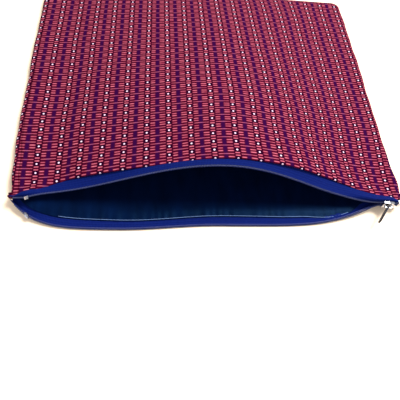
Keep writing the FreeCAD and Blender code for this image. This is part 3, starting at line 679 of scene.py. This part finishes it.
P = FLOOR[INSIDE_SEAMS] + np.array([0, 0, PAD_IN])
P, uv = outward_grid(P, millimetre_uv(P), (0, 0, -1))
bottom_pad = made_of(shell("bottom_pad", P, uv, PAD, FOAM), "bottom_padding")


def top_lining_grid():
    """Inside of the top layers, turned down to the seam at the sides and back."""
    front = MOUTH_Y - corner_reach(TOP[..., 0])
    depth = 2.9 + 1.1 * ease((TOP[..., 1] - front) / 7.0)
    P = TOP - TOP_NORMALS * depth[..., None]
    P[0, :, 1] += 0.8
    turned = ((0.9, -0.5), (1.3, -1.5))
    left = [P[:, 0] + np.array([-away, 0, drop]) for away, drop in turned[::-1]]
    right = [P[:, -1] + np.array([away, 0, drop]) for away, drop in turned]
    P = np.concatenate([np.stack(left, 1), P, np.stack(right, 1)], axis=1)
    P = np.concatenate([P, [P[-1] + np.array([0, away, drop]) for away, drop in turned]])
    slack = ease((P[..., 2] - 8) / 6)
    P[..., 2] += 0.25 * ripple(P[..., 0] * 3, P[..., 1] * 2, 2.0) * slack
    return P


P = top_lining_grid()
P, uv = outward_grid(P, millimetre_uv(P), (0, 0, -1))
top_lining_cloth = shell("top_lining_cloth", P, uv, LINING, SATIN)
made_of(top_lining_cloth, "top_lining")
squashed(top_lining_cloth)


def lining_front(x):
    """Line where the lower lining's folded edge is sewn to the tape."""
    edge, _, _ = lip(x, False)
    close = 4.0 * ease((x - 70) / 35) * (1 - ease((x - 118) / 14))
    return edge[..., 1] + 7.2 - close + 0.5 * np.sin(x * 0.045 + 1)


def bottom_lining_grid():
    """Cloth over the lower foam, gathered a little along its sewn front edge."""
    u = np.linspace(-1, 1, 261)
    front_half, depth = 162.0, 275.0
    front = lining_front(u * front_half)
    reach = np.concatenate([np.linspace(0, 14, 12)[:-1], np.linspace(14, depth, 70)])
    Y = front[None, :] + reach[:, None] * (BACK_Y - 3 - front)[None, :] / depth
    half = half_width(np.maximum(Y, MOUTH_Y)) - 4.4
    X = u[None, :] * np.minimum(half, front_half + (Y - front[None, :]) * 0.6)
    away = np.broadcast_to(reach[:, None], Y.shape)
    fine, coarse = 2.6 * np.sin(X * 0.13), 1.9 * np.sin(X * 0.071)
    gather = np.sin(X * 0.85 + fine) + 0.8 * np.sin(X * 0.37 + coarse)
    rise = -1.0 * np.exp(-(away / 3.5) ** 2)
    pucker = 0.20 * gather * np.exp(-away / 6.0)
    sag = 0.3 * ripple(X, Y, 3.0) * ease(away / 20)
    side = ease((np.abs(u)[None, :] - 0.92) / 0.08)
    Z = 4.3 + rise + pucker + sag + corner_lift(X, Y) * (0.45 + 0.45 * side)
    return np.stack([X, Y, Z], -1)


P = bottom_lining_grid()
normals = grid_normals(P)
normals *= np.sign(normals[..., 2:3])
P, uv = outward_grid(*front_roll(P, millimetre_uv(P), normals, 0.42, 3.5), (0, 0, 1))
bottom_lining_cloth = shell("bottom_lining_cloth", P, uv, LINING, SATIN)
made_of(bottom_lining_cloth, "bottom_lining")


# ------------------------------------------------------------------ zip
def tape_grid(up):
    """From the lip, straight under the coil and then curving to the edge that is sewn in."""
    x = np.linspace(-TAPE_HALF, TAPE_HALF, 221)
    edge, across, _ = lip(x, up)
    straight = 3.6 * np.ones((len(x), 1))
    if up:
        sewn = vec(x, MOUTH_Y + 4 - corner_reach(x), mouth_top(x) - MOUTH_SEAM_IN)
        straight *= 1 - 0.7 * ease((np.abs(x) - 155) / 7)[:, None]
    else:
        sewn = vec(x, floor_front(x) + 4, 2.1 + 0.6 * corner_lift(x, floor_front(x)))
    bend = edge + across * straight
    level, longest = np.abs(across[:, 2]) < 0.05, 2.5
    lean = np.where(level, 1.0, across[:, 2])
    room = np.clip(0.8 * (sewn[:, 2] - bend[:, 2]) / lean, 0.75, longest)
    reach = np.where(level, longest, room)[:, None]
    poles = [bend, bend + across * reach, sewn - np.array([0, 3.0, 0]), sewn]
    course = [edge + across * straight * share for share in (0, 0.33, 0.67)]
    for t in np.linspace(0, 1, 10):
        course.append((1 - t) ** 3 * poles[0] + 3 * t * (1 - t) ** 2 * poles[1]
                      + 3 * t * t * (1 - t) * poles[2] + t ** 3 * poles[3])
    P = np.stack(course, axis=1)
    wide = widths_along(P)
    return P, np.stack([np.broadcast_to(x[:, None], wide.shape), wide], -1)


def coil_tube(up):
    """Helix of nylon wire along the lip."""
    turns, points_per_turn = int(2 * COIL_HALF / 1.15), 14
    t = np.linspace(0, turns, turns * points_per_turn + 1)
    x = -COIL_HALF + 2 * COIL_HALF * t / turns
    edge, across, outward = lip(x, up)
    cosine, sine = np.cos(2 * math.pi * t), np.sin(2 * math.pi * t)
    path = (edge + across * (COIL_IN + 0.72 * cosine)[:, None]
            + outward * (COIL_OUT + 0.50 * sine)[:, None])
    radial = unit(across * cosine[:, None] + outward * sine[:, None])
    along = unit(np.gradient(path, axis=0))
    other = unit(np.cross(along, radial))
    return path, np.cross(other, along), other, 0.25


def strand_tube(up, inward, outwards, radius, wave=0.0):
    """Cord or thread along the lip, in from the edge and off the tape's face."""
    x = np.linspace(-COIL_HALF, COIL_HALF, 900)
    edge, across, outward = lip(x, up)
    height = outwards + wave * np.abs(np.sin(x * math.pi / 2.3))
    path = edge + across * inward + outward * height[:, None]
    return path, across, outward, radius


for side, up in (("upper", True), ("lower", False)):
    P, uv = outward_grid(*tape_grid(up), (0, 0, 1))
    P = P + grid_normals(P) * TAPE / 2
    tape = shell(side + "_tape_cloth", P, uv, TAPE, TAPE_CLOTH)
    made_of(tape, side + "_tape")
    coil = add_tube(side + "_coil_turns", [coil_tube(up)], COIL, around=5)
    made_of(coil, side + "_coil")
    core = add_tube(side + "_core_cord", [strand_tube(up, COIL_IN, COIL_OUT, 0.24)], CORD)
    made_of(core, side + "_coil_cord")
    rows = [strand_tube(up, inward, -0.30, 0.13, wave=-0.12) for inward in (0.25, 0.85)]
    stitches = add_tube(side + "_coil_stitches", rows, THREAD, around=5)
    made_of(stitches, side + "_coil_stitching")
    if up:
        for piece in (tape, coil, core, stitches):
            squashed(piece)


# ------------------------------------------------------------------ seam and mouth threads
def stitched_row(name, points, pitch, depth, radius, material, node):
    """Short stitches that dip into the cloth between one and the next."""
    step = lengths_along(points)
    where = np.linspace(0, step[-1], int(step[-1] / pitch) * 5)
    line = np.stack([np.interp(where, step, points[:, k]) for k in range(3)], -1)
    line[:, 2] += depth * np.abs(np.sin(where * math.pi / pitch))
    row = add_tube(name, [(line, *crosswise(line), radius)], material, around=5)
    return made_of(row, node)


x = np.linspace(-143, 143, 400)
line = vec(x, MOUTH_Y + 2.5 - corner_reach(x), mouth_top(x) - MOUTH_SEAM_IN)
upper_seam = stitched_row("upper_mouth_stitches", line, 3.2, 0.12, 0.12, THREAD,
                          "upper_mouth_stitching")
squashed(upper_seam)

# Lower mouth stitches in pale thread: a painted highlight for the sheen along the lining's folded
# edge, drawn only from -128 to 116 mm, where that highlight lies.
x = np.linspace(-128, 116, 360)
line = vec(x, lining_front(x) + 0.35, 3.45 + 0.45 * corner_lift(x, lining_front(x)))
stitched_row("lower_mouth_stitches_painted_sheen", line, 3.0, 0.25, 0.16, PALE_THREAD_AND_PAINTED_SHEEN, "lower_mouth_stitching")

path, out = border(TOP)
for name, node, inset, lift in (("outer_seam_stitches", "outer_seam_thread", 0.7, 0.0),
                                ("lining_seam_stitches", "lining_seam_thread", 3.6, -0.1)):
    ring = path + out * (EDGE - inset)
    ring[:, 2] = seam_level(path, out) + lift
    stitched_row(name, ring, 3.0, 0.1, 0.13, THREAD, node)


# ------------------------------------------------------------------ metal parts from the CAD
METAL_PARTS = {
    "upper_top_stop": (STOP_METAL, "stop_metal"),
    "lower_top_stop": (STOP_METAL, "stop_metal"),
    "bottom_stop": (STOP_METAL, "stop_metal"),
    "slider_body": (SLIDER_METAL, "slider_metal"),
    "slider_bail": (SLIDER_METAL, "slider_metal"),
    "pull_tab": (PULL_METAL, "pull_metal"),
}
for node, (material, slot) in METAL_PARTS.items():
    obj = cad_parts[node]
    obj.data.materials.clear()
    obj.data.materials.append(material)


# ------------------------------------------------------------------ stage, light and camera
def floor_material():
    """Warm white table top."""
    n = Nodes("table_top")
    patch = n.noise(n.object_point(), 3.0, 2.0)
    colour = n.mix(patch, (0.97, 0.79, 0.61), (0.98, 0.81, 0.63))
    return n.set(Base_Color=colour, Roughness=0.9, Specular_IOR_Level=0.1)


def add_floor(half):
    """Square table top, just under the pouch."""
    mesh = bpy.data.meshes.new("floor")
    corners = [(-half, -half, 0), (half, -half, 0), (half, half, 0), (-half, half, 0)]
    mesh.from_pydata(corners, [], [(0, 1, 2, 3)])
    mesh.materials.append(floor_material())
    floor = bpy.data.objects.new("floor", mesh)
    floor.location.z = -0.0002
    bpy.context.scene.collection.objects.link(floor)


def add_world(colour, strength):
    """Even light from all round."""
    world = bpy.data.worlds.new("studio")
    bpy.context.scene.world = world
    world.use_nodes = True
    background = world.node_tree.nodes["Background"]
    background.inputs[0].default_value = (*colour, 1)
    background.inputs[1].default_value = strength


def area_light(name, place, target, size, power, colour):
    """Round soft light that points at a target."""
    light = bpy.data.lights.new(name, "AREA")
    light.shape = "DISK"
    light.size = size
    light.energy = power
    light.color = colour
    obj = bpy.data.objects.new(name, light)
    obj.location = place
    obj.rotation_mode = "QUATERNION"
    obj.rotation_quaternion = (Vector(target) - Vector(place)).to_track_quat("-Z", "Y")
    bpy.context.scene.collection.objects.link(obj)


def add_camera(place, lens, pitch, yaw, roll):
    """Camera that looks down by pitch, turned from +Y by yaw and about its view by roll."""
    data = bpy.data.cameras.new("camera")
    data.lens = lens
    data.sensor_width = 36.0
    data.clip_start = 0.01
    camera = bpy.data.objects.new("camera", data)
    bpy.context.scene.collection.objects.link(camera)
    level = math.cos(pitch)
    forward = Vector((math.sin(yaw) * level, math.cos(yaw) * level, -math.sin(pitch)))
    right = forward.cross(Vector((0, 0, 1))).normalized()
    above = right.cross(forward)
    side_axis = right * math.cos(roll) + above * math.sin(roll)
    up_axis = above * math.cos(roll) - right * math.sin(roll)
    turn = Matrix((side_axis, up_axis, -forward)).transposed().to_4x4()
    camera.matrix_world = Matrix.Translation(Vector(place)) @ turn
    bpy.context.scene.camera = camera


add_floor(3.0)
add_world((1.0, 0.98, 0.95), 0.62)
area_light("key", (0.62, 0.20, 1.25), (0, 0, 0), 0.6, 34, (1, 0.99, 0.98))
area_light("front", (-0.3, -1.0, 0.9), (0, -0.1, 0.02), 0.8, 5, (0.97, 0.98, 1))
pitch, yaw, roll = (math.radians(angle) for angle in (59.41, 13.02, 12.0))
add_camera((-0.05154, -0.31048, 0.28549), 34.64, pitch, yaw, roll)

settings = bpy.context.scene.view_settings
settings.view_transform = "Standard"
settings.look = "None"
settings.exposure = 0.0
settings.gamma = 1.0
